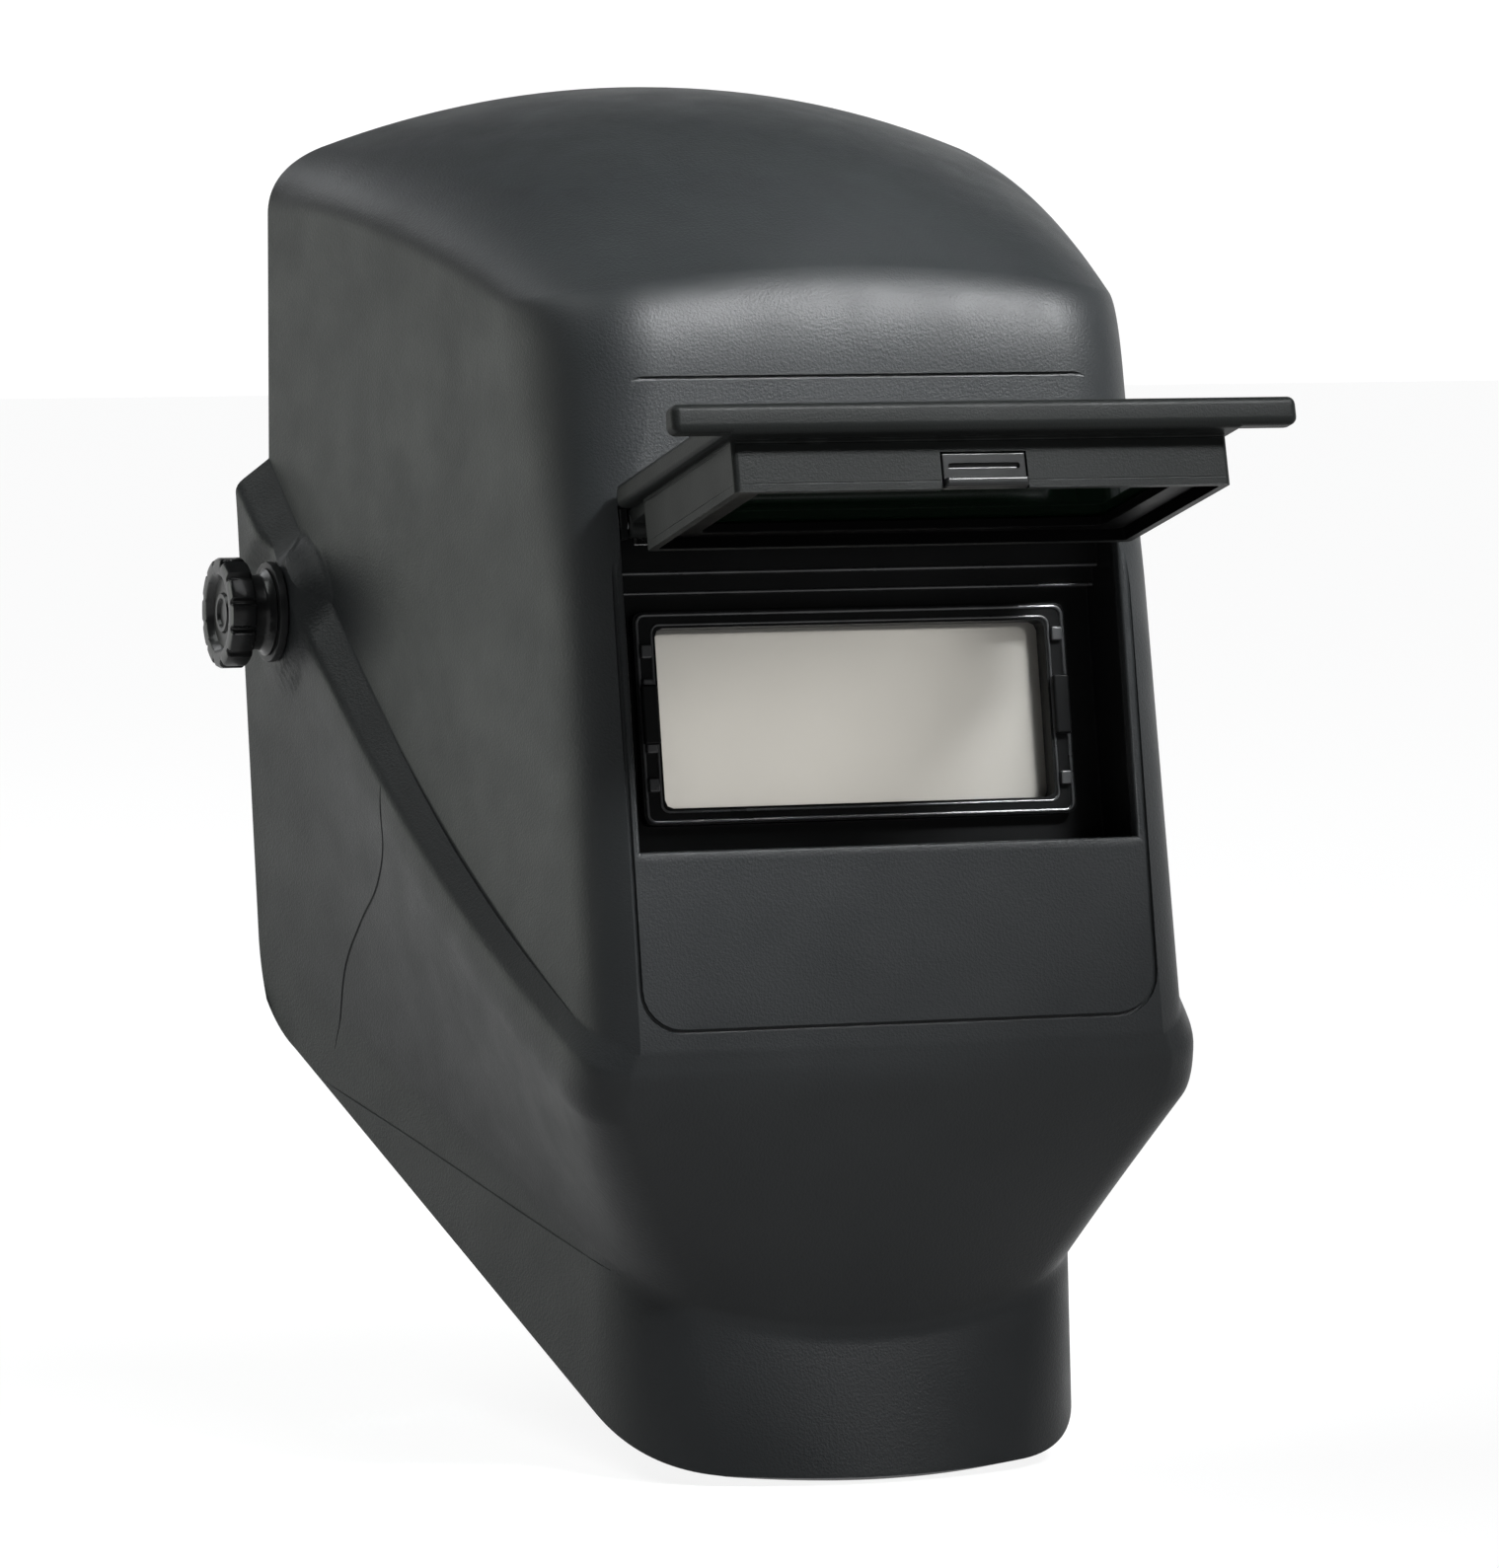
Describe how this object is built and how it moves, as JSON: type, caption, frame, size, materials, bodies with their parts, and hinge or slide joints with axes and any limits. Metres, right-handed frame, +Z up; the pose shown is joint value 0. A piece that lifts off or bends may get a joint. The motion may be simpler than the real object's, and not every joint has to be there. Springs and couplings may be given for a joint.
{
  "type": "welding helmet",
  "caption": "Welding helmet with a moulded shell, raised hinged filter holder over a clear window, side tension knobs and ratchet headgear.",
  "frame": {"origin": "midpoint between the two temple pivots, on the axis the shell tilts about", "axes": "+Z up, the wearer looks along -Y, +X to the wearer's left"},
  "size_m": [0.2304, 0.3517, 0.322],
  "materials": {
    "shell_nylon": "satin moulded nylon, charcoal black, fine grain",
    "tray_nylon": "smooth black nylon",
    "gloss_black_nylon": "glossy black nylon",
    "clear_polycarbonate": "clear plate, lightly hazed, reads warm grey",
    "filter_glass": "very dark green welding filter glass",
    "gasket_rubber": "soft black rubber",
    "spring_steel": "bright strip steel",
    "zinc_plated_steel": "zinc plated",
    "headband_polyethylene": "satin flexible plastic",
    "sweatband_cloth": "grey-black padded terry cloth",
    "fibre": "brown vulcanised fibre"
  },
  "bodies": {
    "headgear": {"headband_front": "headband_polyethylene", "sweatband": "sweatband_cloth", "crown_strap_left": "headband_polyethylene", "crown_strap_right": "headband_polyethylene", "crown_peg": "gloss_black_nylon", "pivot_bracket_left": "headband_polyethylene", "pivot_bracket_right": "headband_polyethylene", "pivot_stud_left": "zinc_plated_steel", "pivot_stud_right": "zinc_plated_steel", "tilt_stop_left": "headband_polyethylene", "tilt_stop_right": "headband_polyethylene", "inner_friction_washer_left": "fibre", "inner_friction_washer_right": "fibre", "outer_friction_washer_left": "fibre", "outer_friction_washer_right": "fibre", "bracket_rivet_upper_left": "zinc_plated_steel", "bracket_rivet_lower_left": "zinc_plated_steel", "bracket_rivet_upper_right": "zinc_plated_steel", "bracket_rivet_lower_right": "zinc_plated_steel"},
    "shell": {"helmet_shell": "shell_nylon", "lens_tray": "tray_nylon", "safety_plate": "clear_polycarbonate", "plate_retainer": "tray_nylon", "plate_clip_left": "tray_nylon", "plate_clip_right": "tray_nylon", "retainer_screw_1": "zinc_plated_steel", "retainer_screw_2": "zinc_plated_steel", "retainer_screw_3": "zinc_plated_steel", "retainer_screw_4": "zinc_plated_steel", "detent_spring_left": "spring_steel", "detent_spring_right": "spring_steel", "hinge_pin": "zinc_plated_steel"},
    "lift_front": {"lift_front_frame": "shell_nylon", "cover_plate": "clear_polycarbonate", "filter_gasket": "gasket_rubber", "filter_plate": "filter_glass", "filter_retainer": "gloss_black_nylon"},
    "latch": {"lift_latch": "gloss_black_nylon"},
    "knob_left": {"tension_knob_left": "gloss_black_nylon"},
    "knob_right": {"tension_knob_right": "gloss_black_nylon"},
    "nape": {"nape_band": "headband_polyethylene", "nape_pad": "sweatband_cloth", "ratchet_housing": "headband_polyethylene"},
    "ratchet": {"ratchet_knob": "gloss_black_nylon", "ratchet_pinion": "headband_polyethylene"}
  },
  "joints": [
    {"name": "helmet_tilt", "type": "hinge", "parent": "headgear", "child": "shell", "pos_m": [0, 0, 0], "axis": [-1, 0, 0], "range_deg": [0, 75]},
    {"name": "lift_front_hinge", "type": "hinge", "parent": "shell", "child": "lift_front", "pos_m": [0, -0.13707, 0.02667], "axis": [1, 0, 0], "range_deg": [0, 94.5]},
    {"name": "latch_flex", "type": "hinge", "parent": "lift_front", "child": "latch", "pos_m": [0, -0.20753, 0.04481], "axis": [1, 0, 0], "range_deg": [0, 8], "stiffness_Nm_per_rad": 0.05},
    {"name": "tension_knob_left_turn", "type": "hinge", "parent": "headgear", "child": "knob_left", "pos_m": [0.109, 0, 0], "axis": [1, 0, 0], "range_deg": [-270, 90]},
    {"name": "tension_knob_right_turn", "type": "hinge", "parent": "headgear", "child": "knob_right", "pos_m": [-0.109, 0, 0], "axis": [-1, 0, 0], "range_deg": [-270, 90]},
    {"name": "nape_slide", "type": "slide", "parent": "headgear", "child": "nape", "axis": [0, 1, 0], "range_m": [-0.014, 0.008]},
    {"name": "ratchet_turn", "type": "hinge", "parent": "nape", "child": "ratchet", "pos_m": [0, 0.128, -0.014], "axis": [0, 1, 0], "range_deg": [-95, 54]}
  ],
  "couplings": [
    {"joint": "nape_slide", "follows": "ratchet_turn", "m_per_rad": 0.0084}
  ]
}
